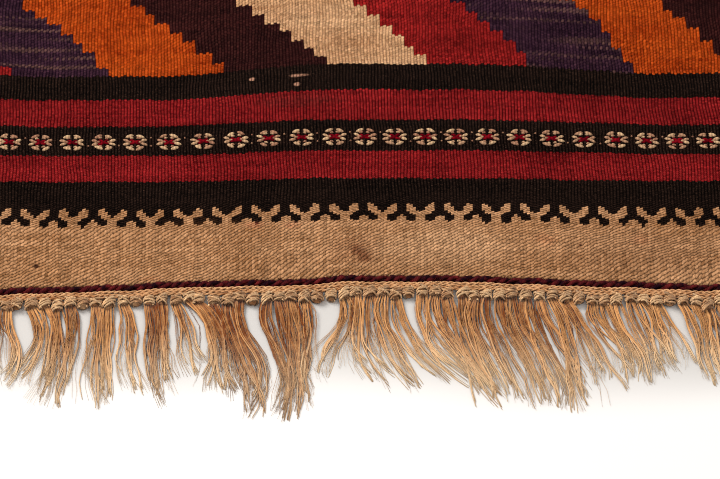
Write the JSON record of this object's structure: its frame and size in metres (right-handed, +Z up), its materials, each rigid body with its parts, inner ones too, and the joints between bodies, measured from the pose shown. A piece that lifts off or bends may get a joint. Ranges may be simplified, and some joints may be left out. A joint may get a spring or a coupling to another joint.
{
  "type": "kilim rug",
  "caption": "Flat-woven wool kilim rug with stepped diagonal stripes, banded ends with rosette and hook borders, dark twined cords and knotted fringes.",
  "frame": {"origin": "on the floor under the middle of the rug, halfway between the fringe tips", "axes": "+Y along the warps from the near fringe to the far one, +X across the rug along the wefts, +Z up out of the cloth's face"},
  "size_m": [0.9776, 1.7116, 0.0078],
  "materials": {
    "cloth_wool": "weft-faced flat weave, matt wool",
    "cord_wool": "two-strand twisted wool cord",
    "fringe_wool": "undyed wool warp ends, slightly lustrous"
  },
  "bodies": {
    "root": {"kilim_cloth": "cloth_wool", "twined_cord_front": "cord_wool", "twined_cord_back": "cord_wool", "knotted_fringe_front": "fringe_wool", "knotted_fringe_back": "fringe_wool"}
  },
  "joints": []
}
